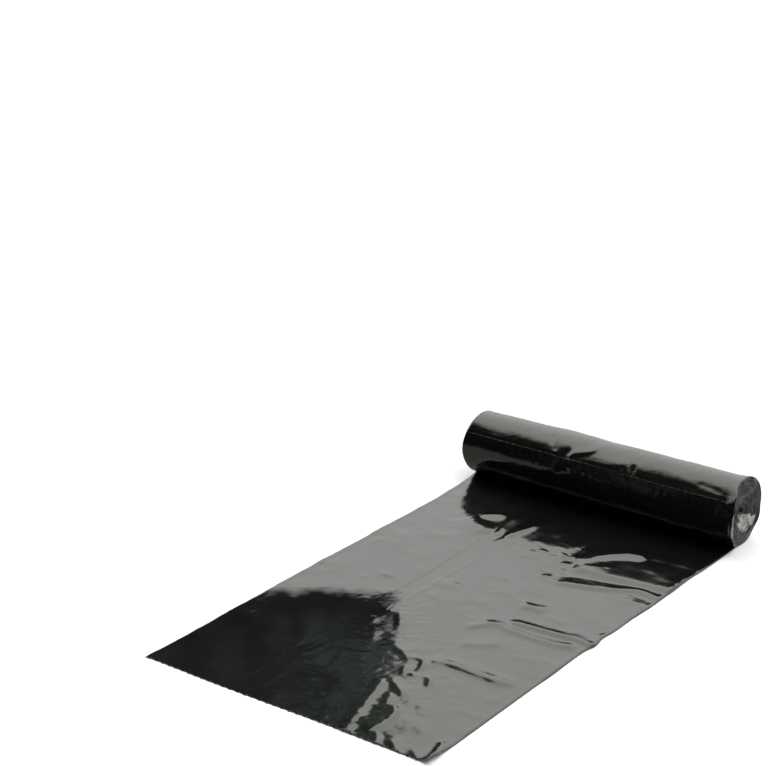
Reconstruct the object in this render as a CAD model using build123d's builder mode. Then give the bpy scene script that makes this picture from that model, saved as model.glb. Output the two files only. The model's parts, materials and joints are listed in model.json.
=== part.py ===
"""A roll of black gusseted refuse sacks, lying on its side with the first sack pulled out flat in front.

The sacks are one unbroken blown film tube, perforated between sacks and wound without a core, so the
roll and its pulled-out tail are one piece. The film leaves the underside of the roll and lies on the
ground. X runs along the roll, the tail points towards -Y, and Z is up. The origin is on the ground,
midway along the roll and midway between the back of the roll and the tail's free edge.
"""

import os
from math import cos, degrees, pi, sin, sqrt

from build123d import *

# Driving dimensions, in millimetres
SACK_WIDTH = 457.0  # folded width of a sack, which is the length of the roll
SACK_LENGTH = 991.0  # from the free edge to the first perforation
GUSSET_DEPTH = 140.0  # how far each side is tucked in between the two faces
FILM = 0.04  # gauge of one layer of film
ROLL_RADIUS = 51.5  # outside of the wound sacks
HOLLOW_RADIUS = 7.0  # hole that the winding spindle leaves through the middle
FLAT_SPOT = 16.0  # width of the patch that the soft roll flattens on the ground
TAIL_REACH = 779.0  # from the roll's axis to the tail's free edge
CUT_LENGTH = 8.0  # one cut of the perforation between two sacks
CUT_WIDTH = 0.8  # how far a cut has opened
TIE_LENGTH = 4.0  # film left between two cuts

# The roll and the ground
axis_height = sqrt(ROLL_RADIUS**2 - (FLAT_SPOT / 2) ** 2)
axis_y = (TAIL_REACH - ROLL_RADIUS) / 2
free_edge_y = axis_y - TAIL_REACH

# The folded film
face_layers = 2 * FILM  # front and back of the sack
gusset_layers = 4 * FILM  # front, back and the two layers tucked in between
web_length = pi * (ROLL_RADIUS**2 - HOLLOW_RADIUS**2) / gusset_layers

# The cuts of a perforation, evenly spaced across the film
cut_pitch = CUT_LENGTH + TIE_LENGTH
cut_count = int((SACK_WIDTH - TIE_LENGTH) / cut_pitch)

# Where the first sack ends. The film climbs the back of the roll, so the angle round it is counted from
# the ground, up the back and over the top. A sack longer than that ends under the outermost turn, out of
# sight, and a sack shorter than the tail ends on the ground.
wound_arc = SACK_LENGTH - TAIL_REACH
wound_angle = wound_arc / ROLL_RADIUS
outward = Vector(0, sin(wound_angle), -cos(wound_angle))
roll_axis = Vector(0, axis_y, axis_height)
if wound_arc < 0:
    perforations_in_sight = [Plane((0, free_edge_y + SACK_LENGTH, gusset_layers))]
elif wound_angle < 2 * pi:
    on_roll = roll_axis + outward * ROLL_RADIUS
    perforations_in_sight = [Plane(on_roll, x_dir=(1, 0, 0), z_dir=outward)]
else:
    perforations_in_sight = []

with BuildPart() as bag_web:
    # The wound sacks: a cylinder along X with its hollow, flattened where it presses on the ground
    with BuildSketch(Plane.YZ.offset(-SACK_WIDTH / 2)):
        with Locations((axis_y, axis_height)):
            Circle(ROLL_RADIUS)
            Circle(HOLLOW_RADIUS, mode=Mode.SUBTRACT)
        with Locations((axis_y, 0)):
            below_ground = (Align.CENTER, Align.MAX)
            Rectangle(2 * ROLL_RADIUS, ROLL_RADIUS, align=below_ground, mode=Mode.SUBTRACT)
    extrude(amount=SACK_WIDTH)

    # The tail's two faces, flat on the ground from under the roll to the free edge
    with BuildSketch(Plane.XY):
        with Locations((0, axis_y)):
            Rectangle(SACK_WIDTH, TAIL_REACH, align=(Align.CENTER, Align.MAX))
    extrude(amount=face_layers)

    # The tucked sides, where the tail is twice as thick
    with BuildSketch(Plane.XY):
        for side, inwards in ((-1, Align.MIN), (1, Align.MAX)):
            with Locations((side * SACK_WIDTH / 2, axis_y)):
                Rectangle(GUSSET_DEPTH, TAIL_REACH, align=(inwards, Align.MAX))
    extrude(amount=gusset_layers)

    # The perforation that ends the first sack, through the film that lies uppermost
    for perforation in perforations_in_sight:
        with BuildSketch(perforation):
            with GridLocations(cut_pitch, 0, cut_count, 1):
                SlotOverall(CUT_LENGTH, CUT_WIDTH)
        extrude(amount=-gusset_layers, mode=Mode.SUBTRACT)

    # The free edge, torn along the same kind of perforation, keeps half of each cut
    with BuildSketch(Plane.XY):
        with Locations((0, free_edge_y)):
            with GridLocations(cut_pitch, 0, cut_count, 1):
                SlotOverall(CUT_LENGTH, CUT_WIDTH)
    extrude(amount=gusset_layers, mode=Mode.SUBTRACT)

bag_web.part.label = "bag_web"

os.makedirs("parts", exist_ok=True)
export_step(bag_web.part, "parts/bag_web.step")

print(f"roll axis at y {axis_y:.2f}, z {axis_height:.2f}; free edge at y {free_edge_y:.2f}")
print(f"flat spot {ROLL_RADIUS - axis_height:.2f} deep; wound web about {web_length / 1000:.1f} m")
print(f"first perforation {wound_arc:.0f} mm or {degrees(wound_angle):.0f} degrees round the roll")
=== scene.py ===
"""Looks of a roll of black refuse sacks with the first sack pulled out flat in front of it.

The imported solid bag_web gives every size and place. Two pieces stand for it: first_sack, the film that
lies on the ground, passes under the roll and goes round its back to the first perforation, and
wound_sacks, the turns beneath. Folds are lists of points in millimetres: the first number is the
distance along the roll from its middle, and the second the distance out from the roll's axis on the
ground. On the roll itself the second number is the angle in degrees from its top towards the tail.
"""

import json
from math import cos, degrees, pi, radians, sin

import bpy
import numpy as np
from mathutils import Euler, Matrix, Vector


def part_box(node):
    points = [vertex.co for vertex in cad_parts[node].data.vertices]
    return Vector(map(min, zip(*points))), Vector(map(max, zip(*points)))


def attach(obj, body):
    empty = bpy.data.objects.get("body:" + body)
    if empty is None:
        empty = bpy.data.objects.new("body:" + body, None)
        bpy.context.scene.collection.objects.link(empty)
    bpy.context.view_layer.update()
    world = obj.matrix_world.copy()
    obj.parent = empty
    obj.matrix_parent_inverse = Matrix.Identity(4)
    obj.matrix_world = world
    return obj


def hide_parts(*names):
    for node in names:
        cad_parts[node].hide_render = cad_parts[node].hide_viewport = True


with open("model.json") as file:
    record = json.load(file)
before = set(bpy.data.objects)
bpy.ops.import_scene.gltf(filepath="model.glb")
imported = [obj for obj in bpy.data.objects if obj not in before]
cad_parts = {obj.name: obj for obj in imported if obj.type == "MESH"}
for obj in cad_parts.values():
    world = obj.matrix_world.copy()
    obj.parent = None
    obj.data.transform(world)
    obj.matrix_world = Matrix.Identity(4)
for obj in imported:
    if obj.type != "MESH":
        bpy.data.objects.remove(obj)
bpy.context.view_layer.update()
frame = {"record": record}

MM = 0.001

# --- Sizes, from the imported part, in millimetres -------------------------------------------------
low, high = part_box("bag_web")
spindle = next(m for m in frame["record"]["mounts"] if m["name"] == "spindle_hole")
AXIS_Y, AXIS_Z = spindle["pos_m"][1] / MM, spindle["pos_m"][2] / MM
HOLLOW = spindle["dims"]["r_mm"]
HALF = high.x / MM
RADIUS = high.y / MM - AXIS_Y
REACH = AXIS_Y - low.y / MM

SACK = 991.0  # length of a sack from its free edge to its perforation
CUT, TIE, CUT_WIDTH = 8.0, 4.0, 0.8  # length of a cut, film left between two cuts, width of a cut
UNDER = 4.0  # the flat film ends this far in front of the axis, under the roll
PERFORATION = degrees((SACK - REACH) / RADIUS) - 180.0  # angle from the roll's top towards the tail
SEAL = PERFORATION - 11.0  # the first sack's bottom seal lies just before its perforation


def smooth(value, start, end):
    """0 up to start, 1 from end, and a smooth rise between them."""
    t = np.clip((value - start) / (end - start), 0, 1)
    return t * t * (3 - 2 * t)


def bell(value, middle, width):
    """1 at middle, 0.37 a width away from it, and next to nothing beyond two widths."""
    return np.exp(-(((value - middle) / width) ** 2))


def ripple(u, v, wavelength, seed, count=11):
    """Even, seeded waviness of about unit height."""
    rng = np.random.default_rng(seed)
    total = np.zeros(np.broadcast(u, v).shape)
    for _ in range(count):
        heading, phase, stretch = rng.uniform(0, pi), rng.uniform(0, 2 * pi), rng.uniform(0.7, 1.4)
        k = 2 * pi / (wavelength * stretch)
        total += np.sin(k * (u * cos(heading) + v * sin(heading)) + phase)
    return total / np.sqrt(count / 2)


def wrinkles(u, v, wavelength, seed):
    """Thin raised lines between flat fields, as film creases: coarse ones, and finer, lower ones."""
    thin, finer = 0.16, 0.6
    coarse = np.abs(ripple(u, v, wavelength, seed))
    fine = np.abs(ripple(u, v, wavelength * finer, seed + 1))
    return np.exp(-coarse / thin) + finer * np.exp(-fine / thin)


def line_through(points, step=2.0):
    """A smooth line through a few chosen points, as closely spaced points."""
    p = np.array(points, float)
    p = np.vstack([2 * p[0] - p[1], p, 2 * p[-1] - p[-2]])
    runs = []
    for a, b, c, d in zip(p, p[1:], p[2:], p[3:]):
        t = np.linspace(0, 1, max(2, int(np.linalg.norm(c - b) / step)), endpoint=False)[:, None]
        bend = (2 * a - 5 * b + 4 * c - d) * t**2 + (3 * b - a - 3 * c + d) * t**3
        runs.append(0.5 * (2 * b + (c - a) * t + bend))
    runs.append(p[-2][None])
    return np.vstack(runs)


def fold(u, v, points, height, first, second, fade=14.0, crest=0.9):
    """A creased ridge along points, which falls away over the widths first and second on its two sides.

    The first side is on the left when walking along the points with u to the right and v downwards.
    The ridge fades in and out over the length fade at its ends, and its crest is rounded by crest.
    """
    line = line_through(points)
    reach = 2.6 * max(first, second) + 3 * crest  # nothing is left of the ridge beyond this
    inside = (u > line[:, 0].min() - reach) & (u < line[:, 0].max() + reach)
    inside &= (v > line[:, 1].min() - reach) & (v < line[:, 1].max() + reach)
    raised = np.zeros(u.shape)
    if not inside.any():
        return raised
    at = np.stack([u[inside], v[inside]], axis=1)
    gaps = np.linalg.norm(at[:, None] - line[None], axis=2)
    nearest = gaps.argmin(axis=1)
    distance = gaps[np.arange(len(at)), nearest]
    heading = np.gradient(line, axis=0)[nearest]
    offset = at - line[nearest]
    left = heading[:, 0] * offset[:, 1] - heading[:, 1] * offset[:, 0] < 0
    run = np.concatenate([[0], np.cumsum(np.linalg.norm(np.diff(line, axis=0), axis=1))])
    to_end = np.minimum(run, run[-1] - run)[nearest]
    width = np.where(left, first, second)
    away = (np.sqrt(distance**2 + crest**2) - crest) / width
    profile = np.exp(-(away**1.5))
    raised[inside] = height * profile * smooth(to_end, -0.35 * fade, fade)
    return raised


# --- Folds that the film has: height, width on each side, and the points of its crest -----
GROUND_FOLDS = (
    # the waves where the film has just left the roll
    (4.4, 20, 13, [(74, 205), (84, 182), (94, 163), (107, 147), (124, 135), (148, 128)]),
    (1.4, 18, 8, [(142, 127), (155, 122), (195, 119), (238, 117)]),
    (3.0, 10, 8, [(84, 219), (98, 205), (114, 194), (130, 185)]),
    (4.2, 50, 10, [(78, 222), (100, 214), (120, 214), (155, 209), (195, 204), (236, 200)]),
    (2.8, 15, 5, [(84, 272), (111, 263), (146, 251), (172, 238), (191, 228), (211, 229), (233, 236)]),
    # creases that run in from the right-hand edge over the tucked side
    (3.5, 12, 4, [(99, 412), (136, 409), (171, 406), (201, 403), (236, 408)]),
    (2.6, 12, 5, [
        (62, 459), (75, 445), (86, 431), (95, 427), (115, 431), (155, 433), (190, 430), (216, 420),
    ]),
    (1.8, 10, 6, [(82, 363), (103, 358), (126, 357)]),
    (1.1, 8, 4, [(130, 366), (147, 370), (168, 372)]),
    (1.9, 12, 7, [(82, 503), (104, 492), (118, 482), (132, 471)]),
    (3.0, 13, 5, [(80, 570), (98, 561), (120, 559), (155, 561), (184, 561), (208, 555)]),
    (2.0, 7, 4, [(-134, 394), (-122, 393), (-106, 396)]),
    # crinkles left of the middle, at the foot of the roll's reflection
    (3.2, 5, 12, [(-136, 156), (-118, 138), (-94, 122)]),
    (3.8, 14, 20, [(-142, 157), (-124, 172), (-106, 184), (-84, 195)]),
    (3.0, 6, 6, [(-83, 114), (-81, 146), (-76, 169), (-70, 196)]),
    (2.8, 5, 7, [(-38, 122), (-43, 150), (-49, 171), (-53, 194)]),
    # crinkles at the inner edge of the right-hand tuck
    (1.8, 4, 4, [(54, 152), (61, 162), (66, 174)]),
    (1.6, 5, 3, [(37, 188), (51, 195), (64, 197)]),
    (2.0, 5, 3, [(53, 210), (63, 214), (74, 212)]),
    (1.6, 4, 3, [(59, 227), (67, 231), (75, 237), (84, 246)]),
    (2.0, 5, 3, [(56, 270), (63, 263), (70, 270)]),
    (1.5, 5, 4, [(5, 197), (17, 199), (28, 196)]),
    # the crumpled patch in the middle of the front half
    (2.4, 5, 3, [(53, 583), (62, 572), (74, 571), (81, 583), (85, 598)]),
    (2.0, 4, 3, [(63, 593), (68, 605), (75, 619)]),
    (2.2, 4, 3, [(77, 612), (84, 608), (92, 611)]),
    (2.4, 4, 3, [(102, 602), (111, 607), (116, 616), (120, 625)]),
    (2.4, 8, 4, [(-54, 456), (-46, 484), (-32, 482), (-18, 498), (-6, 518)]),
    (2.2, 5, 5, [(-59, 503), (-50, 516), (-41, 527)]),
    (2.2, 6, 4, [(-35, 533), (-24, 550), (-11, 572)]),
    (1.8, 8, 5, [(2, 548), (22, 561), (44, 571), (57, 584)]),
    # the long folds that run down to the free edge
    (3.2, 9, 6, [(60, 640), (70, 668), (80, 700), (89, 730), (97, 757), (108, 790)]),
    (3.4, 5, 20, [(112, 688), (126, 702), (132, 721), (132, 744), (124, 766)]),
    (2.4, 8, 6, [(62, 631), (84, 645), (112, 663)]),
    (2.0, 5, 5, [(87, 664), (98, 677), (105, 697)]),
    (1.8, 5, 7, [(131, 754), (146, 768), (156, 788)]),
    (1.8, 6, 5, [(154, 759), (172, 770), (188, 788)]),
    (1.4, 6, 5, [(193, 761), (208, 776), (216, 790)]),
    (3.2, 8, 3, [(213, 722), (219, 742), (226, 767), (230, 788)]),
    (1.6, 16, 14, [(-30, 600), (-20, 634), (-12, 676)]),
    (1.4, 8, 8, [(22, 715), (36, 732), (50, 746)]),
    (1.3, 6, 6, [(57, 746), (61, 764), (62, 790)]),
    (1.2, 6, 5, [(-65, 602), (-70, 644), (-79, 698)]),
)
# The same for the outside of the roll, where grooves are negative and angles take the place of distances
ROLL_FOLDS = (
    (-1.5, 5, 5, [(-88, 14), (-82, 27), (-75, 40), (-71, 50)]),
    (-2.0, 5, 7, [(-46, 36), (-52, 48), (-58, 62), (-65, 82)]),
    (1.8, 8, 3, [(-47, 51), (-35, 44), (-22, 38), (-12, 32), (-5, 20)]),
    (3.2, 15, 15, [(-44, 66), (-25, 60), (0, 54), (25, 49), (42, 44), (55, 36)]),
    (-2.0, 4, 6, [(62, 34), (62, 45), (63, 58)]),
    (-0.8, 6, 3.2, [(168, 38), (182, 39), (197, 41), (212, 43)]),
    (1.5, 3.0, 2.5, [(213, 62), (212, 82), (215, 108)]),
    (2.2, 2.0, 4.0, [(222, 52), (220, 64), (221, 84), (223, 118)]),
)
# How far each side edge of the film wanders, against the distance out from the axis
LEFT_EDGE = ((0, 0), (60, 2), (130, 5), (300, 5), (480, 4), (600, 5), (700, 6), (779, 5))
RIGHT_EDGE = (
    (0, 0), (60, 0), (110, 0), (150, -2), (195, 0), (225, 0), (250, 1), (300, -1), (350, 0), (376, -3),
    (400, 3), (416, -2), (450, -2), (500, 0), (550, 0), (600, 1), (650, 2), (700, 3), (745, 4), (765, 6),
    (779, 4),
)
# A low broad hump where the film settles on the ground
HUMP = [(-66, 168), (-30, 168), (0, 167), (56, 170)]
# Where the film is crumpled in small, across the middle of its front half
CRUMPLED = [(-80, 435), (-50, 490), (-5, 545), (40, 588), (72, 640), (92, 700), (112, 790)]
# Where the tucked sides end under the upper face, against the distance out from the axis
LEFT_TUCK = ((0, -88), (170, -85), (250, -80), (350, -78), (450, -79), (600, -86), (700, -81), (779, -83))
RIGHT_TUCK = (
    (0, 86), (150, 73), (200, 66), (260, 62), (345, 74), (400, 80), (560, 82), (700, 88), (779, 88),
)
# A second line beside the left one, where the tucked side is folded once more
SECOND_TUCK = (
    (200, -58), (290, -48), (345, -53), (380, -50), (430, -52), (500, -46), (640, -50), (779, -52),
)

FACES = 0.35  # apparent thickness of the two faces lying together
TUCK_RIGHT, TUCK_LEFT, TUCK_SECOND = 0.40, 0.76, 0.52  # what the springy tucked sides add to it
HEM = 0.7  # and the stiff fold along each side edge
WOUND = 0.4  # thickness of the film pulled tight round the roll
CLEARANCE = 0.03  # between the first sack and the wound ones
ROW = 3.0  # spacing of the mesh's rows on the ground

# Shape of the roll
LEFT_TAPER = 3.0  # how much smaller its left end is
SLACK = 0.7  # how far it is pulled in at its middle
RIGHT_FLARE = 2.2  # how far its right end widens
SEAL_DEPTH = 0.12  # groove of the first sack's bottom seal
COLLAR_FLARE, COLLAR_NECK = 6.0, 0.9  # the loose outer turns at the right end, and the waist behind them
COLLAR_REACH, COLLAR_PEAK, LEFT_REACH = 9.5, 4.0, 6.0  # how far loose turns stand out past the ends
END_ZONE = 24.0  # length of the roll's ends in which its outer turns are loose


def track(pairs, out):
    """A value against the distance out, without corners."""
    at, value = np.array(pairs, float).T
    nearby = np.linspace(-9, 9, 7)
    return sum(np.interp(out + shift, at, value) for shift in nearby) / len(nearby)


def roll_radius(u, angle):
    """Outside of the roll in millimetres; angle is in degrees from its top towards the tail."""
    v = np.radians(angle) * RADIUS
    r = np.full(np.broadcast(u, angle).shape, RADIUS)
    r -= LEFT_TAPER * smooth(-u, 60, HALF) ** 0.8
    r -= SLACK * bell(u, 20, 90)
    r += RIGHT_FLARE * smooth(u, 205, HALF + 4) * (0.6 + 0.4 * np.cos(np.radians(angle + 10)))
    r += 0.22 * ripple(u, v, 70, 5) + 0.07 * ripple(u * 2, v, 22, 6)
    r += 0.16 * wrinkles(u, v, 60, 7) * smooth(np.abs(u), 0, 60)
    for height, first, second, points in ROLL_FOLDS:
        crest = [(x, radians(a) * RADIUS) for x, a in points]
        r += fold(u, v, crest, height, first, second, fade=9.0)
    r -= COLLAR_NECK * bell(u, 216, 4.5) * bell(angle, 50, 22)
    collar_start = 213
    r += COLLAR_FLARE * np.clip((u - collar_start) / (HALF - collar_start), 0, 1) ** 1.5 * bell(angle, 53, 22)
    stamped = 1 + 0.5 * np.sin(u * 1.9) * np.sin(u * 0.37)  # a heat seal is uneven along its line
    r -= SEAL_DEPTH * bell(v, radians(SEAL) * RADIUS, 1.4) * stamped
    return r


def above(value, floor, ease=0.25):
    """value, but eased so as never to go below floor."""
    extra = value - floor
    return floor + 0.5 * (extra + np.sqrt(extra**2 + ease**2))


def stands_out(u, angle):
    """How far the loose outer turns reach past the two ends of the roll, mostly in front."""
    reach = COLLAR_REACH + COLLAR_PEAK * bell(angle, 62, 14)
    around = smooth(angle, 14, 58) * (1 - smooth(angle, 118, 168))
    right = reach * around * smooth(u, HALF - END_ZONE, HALF)
    right *= 1 + 0.10 * ripple(angle, 0 * angle, 30, 43)
    left = LEFT_REACH * bell(angle, 84, 48) * smooth(-u, HALF - END_ZONE, HALF)
    return right - left


def on_roll(u, angle, inwards):
    """Points on the outside of the roll, sunk by inwards, and flattened on the ground."""
    r = roll_radius(u, angle) - inwards
    y = AXIS_Y - r * np.sin(np.radians(angle))
    z = above(AXIS_Z + r * np.cos(np.radians(angle)), inwards, 0.12)
    return np.stack([u + stands_out(u, angle), y, z], axis=-1)


def film_on_ground(u, out):
    """Heights of the film's upper and lower faces between the roll and its free edge."""
    # Thickness of the flattened sack: two faces, the tucked sides between them and the folded edges
    past_left, past_right = u - track(LEFT_TUCK, out), u - track(RIGHT_TUCK, out)
    sheet = FACES + TUCK_LEFT * (1 - smooth(past_left, -1.8, 1.8)) + TUCK_RIGHT * smooth(past_right, -4, 4)
    sheet += TUCK_SECOND * bell(u, track(SECOND_TUCK, out), 3.0) * smooth(out, 240, 300)
    edge = HALF - np.abs(u)
    sheet += HEM * bell(edge, 3.0, 3.5)
    sheet *= 1 - 0.75 * bell(edge, 0, 1.1)
    sheet = WOUND + (sheet - WOUND) * smooth(out, 20, 70)

    # Slow waves, on which the folds lie. Folds that cross are joined without adding up
    wave = 0.55 * ripple(u * 0.8, out, 130, 21) + 0.34 * ripple(u, out, 52, 22)
    wave += 0.12 * ripple(u, out * 1.4, 24, 23) + 0.22 * (wrinkles(u * 0.7, out * 1.3, 70, 24) - 0.5)
    raised = above(wave, 0.0, 0.5)
    creased = np.zeros(u.shape)
    for height, first, second, points in GROUND_FOLDS:
        creased += fold(u, out, points, height, first, second) ** 3
    raised = raised + np.cbrt(creased)
    raised += fold(u, out, HUMP, 3.0, 62, 34, crest=9.0)
    crumpled = fold(u, out, CRUMPLED, 1.0, 42, 42, crest=25.0)
    small = 0.34 * ripple(u, out, 27, 25) + 0.13 * ripple(u, out, 13, 26)
    raised += crumpled * np.abs(small + 0.35 * (wrinkles(u, out, 34, 27) - 0.4))

    # It lifts where it nears the roll, most at the left, and curls up at its free right-hand corner
    by_roll = 2.5 + 11.5 * smooth(-u, 150, HALF) + 2.0 * smooth(u, 185, HALF)
    corner = 7.0 * np.exp(-(((u - HALF - 6) / 17) ** 2) - ((out - 772) / 24) ** 2)
    top = sheet + raised * smooth(out, 10, 70) + by_roll * np.exp(-out / 20.0) + corner

    # Under the roll it stays below the wound sacks
    close = np.clip(out / (RADIUS - WOUND), 0, 0.999)
    angle = 180.0 - np.degrees(np.arcsin(close))
    body = roll_radius(u, angle) - WOUND
    underside = AXIS_Z - np.sqrt(np.clip(body**2 - out**2, 0, None))
    under = out < 0.95 * (RADIUS - WOUND)
    top = np.where(under, np.maximum(np.minimum(top, underside), sheet), top)

    # The lower face leaves the ground only near the roll and under the curled corner
    lifted_by_roll = (top - sheet) * (1 - smooth(out, 45, 66))
    below = np.where(out < 70, lifted_by_roll, corner * smooth(out, 705, 720))
    bottom = np.maximum(np.minimum(below, top - sheet * 0.9), 0)
    return top, bottom


def columns():
    """The lengthwise lines of the film's mesh, which follow the cuts of its perforations."""
    pitch = CUT + TIE
    count = int((2 * HALF - TIE) / pitch)
    first = -(count - 1) / 2 * pitch - CUT / 2
    marks = [-HALF] + [first + i * pitch + end for i in range(count) for end in (0, CUT)] + [HALF]
    spacing = 2.6
    lines = [
        np.linspace(a, b, round((b - a) / spacing), endpoint=False) for a, b in zip(marks, marks[1:])
    ]
    lines = np.append(np.concatenate(lines), HALF)
    middle = (lines[1:] + lines[:-1]) / 2
    along = (middle - first) % pitch
    is_cut = (along < CUT) & (np.abs(middle) < (count * pitch - TIE) / 2)
    return lines, is_cut


def new_piece(name, points, faces, smooth_faces, material):
    """A mesh object from points in millimetres."""
    mesh = bpy.data.meshes.new(name)
    mesh.from_pydata((np.asarray(points) * MM).tolist(), [], faces)
    mesh.polygons.foreach_set("use_smooth", np.asarray(smooth_faces, bool))
    mesh.materials.append(material)
    mesh.validate()
    mesh.update()
    piece = bpy.data.objects.new(name, mesh)
    bpy.context.scene.collection.objects.link(piece)
    return piece


def make_first_sack(material):
    """One closed mesh: the flat film, its lift to the roll and its turn round the roll's back."""
    u, is_cut = columns()
    across = len(u)

    # Rows on the ground, from the torn edge inwards
    torn = 0.5 * CUT_WIDTH
    stretched_ties = 0.9  # the ties were drawn out before they tore, by up to this
    free = REACH - 0.6  # the torn ends of the ties reach a little past it
    out = np.concatenate([[free], np.linspace(free - torn, UNDER, round((free - UNDER) / ROW))])
    grid_u, grid_out = np.meshgrid(u, out)
    top, bottom = film_on_ground(grid_u, grid_out)
    side = grid_u / HALF
    shift = np.where(side > 0, track(RIGHT_EDGE, grid_out), track(LEFT_EDGE, grid_out))
    x = grid_u + shift * smooth(np.abs(side), 0.45, 1.0)
    y = AXIS_Y - grid_out
    y[0] -= np.random.default_rng(3).uniform(0.0, stretched_ties, across)
    y -= 1.2 * ripple(grid_u, 0 * grid_u, 160, 31) * smooth(grid_out, 600, REACH)
    ground_top = np.stack([x, y, top], axis=-1)
    ground_bottom = np.stack([x, y, bottom], axis=-1)

    # Rows round the roll, up its back and over its top to the perforation
    start = -180.0 - degrees(np.arcsin(UNDER / RADIUS)) + 3.0
    last_cut = degrees(CUT_WIDTH / RADIUS)
    finer_from = -28.0  # the back has coarser rows than the top
    back = np.arange(start, finer_from, 3.6)
    over_top = np.linspace(finer_from, PERFORATION - last_cut, 52)
    angles = np.concatenate([back, over_top, [PERFORATION]])
    wrap_u, wrap_angle = np.meshgrid(u, angles)
    spread = smooth(np.abs(wrap_u), HALF - 25, HALF) * np.sign(wrap_u)
    flare = spread * (0.5 + 0.4 * ripple(wrap_angle * 0.9, 0 * wrap_angle, 40, 41))
    flare *= 1 - smooth(wrap_angle, PERFORATION - 40, PERFORATION - 5)
    wrap_outer = on_roll(wrap_u, wrap_angle, 0.0)
    wrap_inner = on_roll(wrap_u, wrap_angle, WOUND)
    wrap_outer[..., 0] += flare
    wrap_inner[..., 0] += flare

    # The upper face on the ground is the inner face on the roll
    upper = np.concatenate([ground_top, wrap_inner])
    lower = np.concatenate([ground_bottom, wrap_outer])
    rows = len(upper)
    exists = np.ones((rows - 1, across - 1), bool)
    exists[0, is_cut] = False
    exists[-1, is_cut] = False

    # The lower face is one polygon where it lies flat on the ground
    flat_from = 2
    while bottom[flat_from].max() > 0:
        flat_from += 1
    flat_to = flat_from
    while flat_to + 1 < len(out) and bottom[flat_to + 1].max() == 0:
        flat_to += 1
    kept = np.ones((rows, across), bool)
    kept[flat_from + 1 : flat_to, 1:-1] = False
    number = np.arange(rows * across).reshape(rows, across)
    lower_number = np.full((rows, across), -1)
    lower_number[kept] = rows * across + np.arange(kept.sum())
    points = np.concatenate([upper.reshape(-1, 3), lower[kept]])

    faces, is_smooth = [], []
    for j, i in zip(*np.nonzero(exists)):
        a, b, c, d = number[j, i], number[j, i + 1], number[j + 1, i + 1], number[j + 1, i]
        faces.append((a, b, c, d))
        is_smooth.append(True)
        if not flat_from <= j < flat_to:
            e, f = lower_number[j, i], lower_number[j, i + 1]
            g, h = lower_number[j + 1, i + 1], lower_number[j + 1, i]
            faces.append((h, g, f, e))
            is_smooth.append(True)
    ring = list(lower_number[flat_from, ::-1])
    ring += list(lower_number[flat_from + 1 : flat_to, 0])
    ring += list(lower_number[flat_to])
    ring += list(lower_number[flat_to - 1 : flat_from : -1, -1])
    faces.append(tuple(ring))
    is_smooth.append(False)

    # Edges of the film, and of each cut
    present = np.pad(exists, 1)
    for j, i in zip(*np.nonzero(exists)):
        sides = (
            (present[j, i + 1], (j, i), (j, i + 1)),
            (present[j + 1, i + 2], (j, i + 1), (j + 1, i + 1)),
            (present[j + 2, i + 1], (j + 1, i + 1), (j + 1, i)),
            (present[j + 1, i], (j + 1, i), (j, i)),
        )
        for neighbour, p, q in sides:
            if not neighbour:
                faces.append((number[q], number[p], lower_number[p], lower_number[q]))
                is_smooth.append(False)
    return new_piece("first_sack", points, [tuple(int(n) for n in f) for f in faces], is_smooth, material)


BUNDLE = 2.1  # thickness of the bundles of turns that show as rings on the ends


def end_recess(r, angle, side):
    """How far the film edges on an end of the roll lie behind its outermost turn."""
    theta = np.radians(angle)
    bundle = (r + BUNDLE * angle / 360.0) / BUNDLE  # counted outwards along the spiral
    offsets = np.random.default_rng(51 + side).uniform(0, 1, 60)
    telescoped = np.interp(bundle, np.arange(len(offsets)), offsets)
    recess = 1.2 + 1.6 * telescoped + 0.9 * ripple(r * np.cos(theta), r * np.sin(theta), 26, 52 + side)
    recess += 0.45 * np.sin(2 * pi * bundle) + 0.3 * ripple(r * 2.5, theta * 16, 5, 54 + side)
    recess += 4.0 * smooth(HOLLOW + 7 - r, 0, 7)  # the mouth of the hollow
    recess *= smooth(RADIUS - r, -0.5, 3.0)
    return recess


# Slot 2 is painted sheen, a lighter film colour where the right end catches the light
EDGES, PAINTED_SHEEN = 1, 2  # material slots of the wound sacks, after the film itself
BODY_HALF = HALF - 0.3  # the wound sacks end just inside the first one
SLOT_DEPTH = 0.12  # how deep the cuts of the perforation look
RING_COUNT = 84  # rings of the mesh on each end


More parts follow.
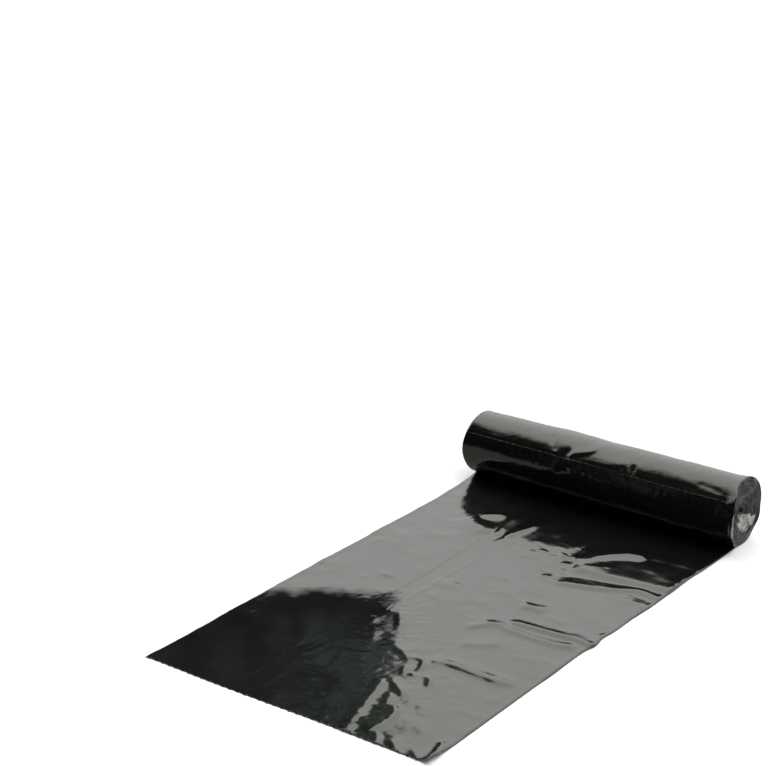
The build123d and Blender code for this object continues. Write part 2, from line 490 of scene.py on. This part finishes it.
def make_wound_sacks(material, edge_material, painted_sheen_material):
    """One closed mesh: the turns under the first sack, both ends and the hollow."""
    # Lines along the roll, by their angles: the covered ones, the perforation's slot and those in sight.
    # The slot has a wall between -1.1 and -1.0 degrees, and one that is all but upright at 0
    covered_angles = [np.arange(-180, -30, 2.6), np.arange(-30, PERFORATION - 1.4, 1.4)]
    slot_angles = [PERFORATION + step for step in (-1.1, -1.0, -0.1, -0.002, 0.002, 0.1)]
    open_angles = [np.arange(57, 100, 1.5), np.arange(100, 179, 2.2)]
    angles = np.concatenate([*covered_angles, slot_angles, *open_angles])
    covered = angles < PERFORATION - 1.05
    in_slot = ~covered & (angles < PERFORATION)
    sunk = np.where(covered, WOUND + CLEARANCE, np.where(in_slot, SLOT_DEPTH, 0.0))

    length = np.concatenate([[-1], np.linspace(-0.996, 0.996, 170), [1]]) * BODY_HALF
    radii = np.concatenate([[0.985], np.linspace(0.965, 0.16, RING_COUNT), [0.145]])
    u, angle = np.meshgrid(length, angles)
    outer = on_roll(u, angle, np.broadcast_to(sunk[:, None], u.shape))
    strips = [outer]
    for side in (1, 0):
        end = 1 if side else -1
        rim = outer[:, -1 if side else 0]
        share, angle = np.meshgrid(radii, angles)
        y = AXIS_Y + (rim[:, None, 1] - AXIS_Y) * share
        z = AXIS_Z + (rim[:, None, 2] - AXIS_Z) * share
        loose = rim[:, None, 0] - end * BODY_HALF
        x = end * (BODY_HALF - end_recess(share * RADIUS, angle, side))
        x += loose * smooth(share * RADIUS, RADIUS - 10.5, RADIUS - 8.0)
        face = np.stack([x, y, z], axis=-1)
        strips.append(face if side else face[:, ::-1])
    right, left = strips[1], strips[2]
    across = np.linspace(0.04, 0.96, 9)[None, :, None]
    bore = right[:, -1:] * (1 - across) + left[:, :1] * across
    ring = np.concatenate([outer, right, bore, left], axis=1)

    turns, around = ring.shape[:2]
    number = np.arange(turns * around).reshape(turns, around)
    following = np.roll(number, -1, axis=0)
    faces = np.stack(
        [number, np.roll(number, -1, axis=1), np.roll(following, -1, axis=1), following], axis=-1
    )
    is_smooth = np.ones((turns, around), bool)
    for step in (-1.1, -0.002):  # the slot's walls are flat, or they would mirror the sky as a line
        is_smooth[np.isclose(angles, PERFORATION + step, rtol=0, atol=1e-6)] = False
    piece = new_piece(
        "wound_sacks", ring.reshape(-1, 3), faces[..., ::-1].reshape(-1, 4).tolist(),
        is_smooth.ravel(), material,
    )
    piece.data.materials.append(edge_material)
    # Painted sheen, for the lit patch and lip on the right end
    piece.data.materials.append(painted_sheen_material)

    # The ends show film edges inside their outermost turn
    right_from, bore_from = len(length), len(length) + len(radii)
    left_from = bore_from + across.size
    rim_columns = 3
    which = np.zeros((turns, around), int)
    which[:, right_from + rim_columns : bore_from - 1] = EDGES
    which[:, left_from : -rim_columns - 1] = EDGES

    # A lighter patch low on the right end, and a crescent of it along that end's front lip: painted sheen
    # where they catch the light
    back, up = ring[..., 1] - AXIS_Y, ring[..., 2]
    upper_edge = 46.5 - 0.40 * back + 1.2 * ripple(back, up, 16, 61)
    lower_edge = 13 + 0.5 * np.abs(back - 14) + 1.4 * ripple(up, back, 15, 63)
    front_edge, rear_edge = -9 + 2 * ripple(up, back, 12, 62), 39
    patch = (up > lower_edge) & (up < upper_edge) & (back > front_edge) & (back < rear_edge)
    patch[:, : right_from + rim_columns] = False
    patch[:, bore_from:] = False
    which[patch] = PAINTED_SHEEN
    columns_in = np.broadcast_to(np.arange(around) - right_from, which.shape)
    lip = 14.0 * smooth(angles, 60, 86) * (1 - smooth(angles, 104, 130))
    which[(columns_in >= 0) & (columns_in + 0.5 < lip[:, None])] = PAINTED_SHEEN
    piece.data.polygons.foreach_set("material_index", which.ravel())
    return piece


# --- Materials ----------------------------------------------------------------------------------
def new_material(name):
    material = bpy.data.materials.new(name)
    material.use_nodes = True
    return material, material.node_tree.nodes, material.node_tree.links


def noise(nodes, links, coordinates, scale, stretch=(1, 1, 1), detail=3.0):
    """Noise with scale features a metre, stretched along the object's axes."""
    mapping = nodes.new("ShaderNodeMapping")
    mapping.inputs["Scale"].default_value = stretch
    texture = nodes.new("ShaderNodeTexNoise")
    texture.inputs["Scale"].default_value = scale
    texture.inputs["Detail"].default_value = detail
    links.new(coordinates, mapping.inputs["Vector"])
    links.new(mapping.outputs["Vector"], texture.inputs["Vector"])
    return texture.outputs["Fac"]


def ranged(nodes, links, value, start, end, low_value, high_value, rise="LINEAR"):
    """value from start to end becomes low_value to high_value."""
    change = nodes.new("ShaderNodeMapRange")
    change.interpolation_type = rise
    change.inputs["From Min"].default_value = start
    change.inputs["From Max"].default_value = end
    change.inputs["To Min"].default_value = low_value
    change.inputs["To Max"].default_value = high_value
    links.new(value, change.inputs["Value"])
    return change.outputs["Result"]


def combined(nodes, links, operation, first, second):
    """Two values added, subtracted, multiplied or the like."""
    maths = nodes.new("ShaderNodeMath")
    maths.operation = operation
    links.new(first, maths.inputs[0])
    links.new(second, maths.inputs[1])
    return maths.outputs["Value"]


def bumped(nodes, links, height, distance, strength=1.0, normal=None):
    """The normal of a surface raised by height times distance, in metres."""
    bump = nodes.new("ShaderNodeBump")
    bump.inputs["Distance"].default_value = distance
    bump.inputs["Strength"].default_value = strength
    links.new(height, bump.inputs["Height"])
    if normal is not None:
        links.new(normal, bump.inputs["Normal"])
    return bump.outputs["Normal"]


def make_film_material():
    """Thin glossy black polyethylene with fine lines along the web and slight unevenness."""
    material, nodes, links = new_material("black_film")
    shader = nodes["Principled BSDF"]
    shader.inputs["Base Color"].default_value = (0.0034, 0.0042, 0.0037, 1)
    shader.inputs["IOR"].default_value = 1.5
    shader.inputs["Specular Tint"].default_value = (0.96, 1.0, 0.86, 1)
    place = nodes.new("ShaderNodeTexCoord").outputs["Object"]
    cloudy = noise(nodes, links, place, 28)
    links.new(ranged(nodes, links, cloudy, 0.3, 0.7, 0.10, 0.19), shader.inputs["Roughness"])
    die_lines = noise(nodes, links, place, 420, (1.0, 0.02, 0.02), 1.0)
    pebbles = noise(nodes, links, place, 240, (1, 1, 1), 2.0)
    normal = bumped(nodes, links, die_lines, 0.00006)
    normal = bumped(nodes, links, pebbles, 0.00008, 1.0, normal)
    links.new(normal, shader.inputs["Normal"])
    return material


def make_edge_material(name, dark, light):
    """The many film edges of the roll's ends, which look mottled together; made lighter, it is also the
    painted sheen of the right end.
    """
    material, nodes, links = new_material(name)
    shader = nodes["Principled BSDF"]
    shader.inputs["Specular IOR Level"].default_value = 0.2
    place = nodes.new("ShaderNodeTexCoord").outputs["Object"]
    mottle = noise(nodes, links, place, 130, (1, 1, 1), 4.0)
    ramp = nodes.new("ShaderNodeValToRGB")
    ramp.color_ramp.elements[0].position = 0.35
    ramp.color_ramp.elements[0].color = dark
    ramp.color_ramp.elements[1].position = 0.68
    ramp.color_ramp.elements[1].color = light
    links.new(mottle, ramp.inputs["Fac"])
    links.new(ramp.outputs["Color"], shader.inputs["Base Color"])
    shader.inputs["Roughness"].default_value = 0.42
    fine = noise(nodes, links, place, 900, (1, 1, 1), 2.0)
    links.new(bumped(nodes, links, fine, 0.0004, 0.6), shader.inputs["Normal"])
    return material


film = make_film_material()
first_sack = make_first_sack(film)
edges = make_edge_material("black_film_edges", (0.005, 0.0056, 0.0053, 1), (0.031, 0.034, 0.032, 1))
# A lighter mottled film colour as painted sheen, where the right end catches the light
painted_sheen_film = make_edge_material("black_film_painted_sheen", (0.09, 0.093, 0.088, 1), (0.34, 0.35, 0.33, 1))
wound_sacks = make_wound_sacks(film, edges, painted_sheen_film)
for piece in (first_sack, wound_sacks):
    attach(piece, "root")
    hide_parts("bag_web")


# --- Stage: pale floor, soft studio light, and what the film mirrors -------------------------------
def stage_plane(name, corners, colour):
    """A flat plain card or floor through its corners, in metres."""
    mesh = bpy.data.meshes.new(name)
    mesh.from_pydata(corners, [], [tuple(range(len(corners)))])
    material, nodes, _ = new_material(name)
    nodes["Principled BSDF"].inputs["Base Color"].default_value = (*colour, 1)
    nodes["Principled BSDF"].inputs["Roughness"].default_value = 0.9
    nodes["Principled BSDF"].inputs["Specular IOR Level"].default_value = 0.0
    mesh.materials.append(material)
    plane = bpy.data.objects.new(name, mesh)
    bpy.context.scene.collection.objects.link(plane)
    return plane


def mirrored_only(card):
    """Only the film's mirroring sees the card: it neither shows nor shades anything."""
    card.visible_camera = False
    card.visible_diffuse = False
    card.visible_transmission = False
    card.visible_shadow = False
    return card


def soften_card(card):
    """A card that is clear at its foot and near edge and uneven in brightness, as a full sack is."""
    nodes, links = card.active_material.node_tree.nodes, card.active_material.node_tree.links
    place = nodes.new("ShaderNodeTexCoord").outputs["Object"]
    parts = nodes.new("ShaderNodeSeparateXYZ")
    links.new(place, parts.inputs["Vector"])
    along, height = parts.outputs["X"], parts.outputs["Z"]  # the near edge is at 0 and the foot at 0
    ragged = noise(nodes, links, place, 22, (1, 1, 2.2), 2.0)
    edge_shift = ranged(nodes, links, ragged, 0.3, 0.7, -0.015, 0.02)
    inwards = combined(nodes, links, "SUBTRACT", edge_shift, along)
    from_edge = ranged(nodes, links, inwards, 0.0, 0.028, 0.0, 1.0)
    foot_shift = ranged(nodes, links, ragged, 0.3, 0.7, -0.008, 0.004)
    above_foot = combined(nodes, links, "ADD", height, foot_shift)
    from_foot = ranged(nodes, links, above_foot, 0.0, 0.014, 0.0, 1.0)
    opaque = combined(nodes, links, "MULTIPLY", from_edge, from_foot)

    # Painted sheen: the card glows more higher up and nearer its edge, for the highlights of the full sack
    higher = ranged(nodes, links, height, 0.03, 0.12, 0.0, 1.0)
    nearer = ranged(nodes, links, along, -0.24, -0.06, 0.15, 1.0)
    uneven = noise(nodes, links, place, 22, (1, 1, 0.5), 2.0)
    sheen = ranged(nodes, links, uneven, 0.40, 0.68, 0.03, 0.5)
    sheen = combined(nodes, links, "MULTIPLY", combined(nodes, links, "MULTIPLY", higher, nearer), sheen)

    shader = nodes["Principled BSDF"]
    shader.inputs["Emission Color"].default_value = (0.88, 1.0, 0.92, 1)
    links.new(sheen, shader.inputs["Emission Strength"])
    links.new(opaque, shader.inputs["Alpha"])


def lying(x_from, x_to, y_from, y_to, z):
    """Corners of a level rectangle, in metres."""
    return [(x_from, y_from, z), (x_to, y_from, z), (x_to, y_to, z), (x_from, y_to, z)]


def standing(x_from, x_to, y, height):
    """Corners of an upright rectangle along X, in metres."""
    return [(x_from, y, 0), (x_to, y, 0), (x_to, y, height), (x_from, y, height)]


PALE, GREY, NEAR_BLACK = (0.72, 0.72, 0.71), (0.28, 0.28, 0.28), (0.006, 0.006, 0.006)
FLOOR_HALF, BELOW_FILM = 15.0, -0.0002
floor = stage_plane("floor", lying(-FLOOR_HALF, FLOOR_HALF, -FLOOR_HALF, FLOOR_HALF, 0), PALE)
floor.location.z = BELOW_FILM

# The filled sack to the left of the film, which the film mirrors as a dark, uneven shape
CARD_EDGE, CARD_TURN = (-0.078, -0.046, 0), 36.9
side_card = mirrored_only(stage_plane("dark_card_side", standing(0, -0.6, 0, 0.8), NEAR_BLACK))
side_card.location = CARD_EDGE
side_card.rotation_euler.z = radians(CARD_TURN)
soften_card(side_card)

# The dark side of the room in front, and the shaded floor on the left
mirrored_only(stage_plane("dark_card_front", standing(-2.0, 0.0, -0.43, 1.0), NEAR_BLACK))
mirrored_only(stage_plane("grey_card_floor", lying(-1.6, -0.229, -0.42, 0.36, 0.001), GREY))


def light_world():
    """White behind the object and overhead, dark in front, as a window side and a room side."""
    world = bpy.data.worlds.new("studio")
    bpy.context.scene.world = world
    world.use_nodes = True
    nodes, links = world.node_tree.nodes, world.node_tree.links
    background = nodes["Background"]
    direction = nodes.new("ShaderNodeTexCoord").outputs["Generated"]
    parts = nodes.new("ShaderNodeSeparateXYZ")
    links.new(direction, parts.inputs["Vector"])
    back = ranged(nodes, links, parts.outputs["Y"], -0.35, 0.05, 0.008, 1.0, "SMOOTHSTEP")
    right = ranged(nodes, links, parts.outputs["X"], 0.1, 0.6, 0.0, 0.4)
    upwards = ranged(nodes, links, parts.outputs["Z"], 0.0, 1.0, 0.9, 4.0)
    around = combined(nodes, links, "MAXIMUM", back, right)
    light = combined(nodes, links, "MULTIPLY", around, upwards)

    # Seen directly, the background is plain white
    seen = nodes.new("ShaderNodeLightPath").outputs["Is Camera Ray"]
    choice = nodes.new("ShaderNodeMix")
    choice.data_type = "FLOAT"
    choice.inputs["B"].default_value = 1.0
    links.new(seen, choice.inputs["Factor"])
    links.new(light, choice.inputs["A"])
    links.new(choice.outputs["Result"], background.inputs["Strength"])
    background.inputs["Color"].default_value = (1, 1, 1, 1)


light_world()

# --- Camera ---------------------------------------------------------------------------------------
CAMERA_PLACE = (1.59942, -2.30346, 1.36298)
CAMERA_DOWN, CAMERA_TURN = 20.633, 36.965  # degrees below level, and round from facing the back
lens = bpy.data.cameras.new("camera")
lens.lens = 103.04
camera = bpy.data.objects.new("camera", lens)
camera.location = CAMERA_PLACE
camera.rotation_euler = Euler((radians(90 - CAMERA_DOWN), 0, radians(CAMERA_TURN)))
bpy.context.scene.collection.objects.link(camera)
bpy.context.scene.camera = camera
bpy.context.scene.view_settings.view_transform = "Standard"
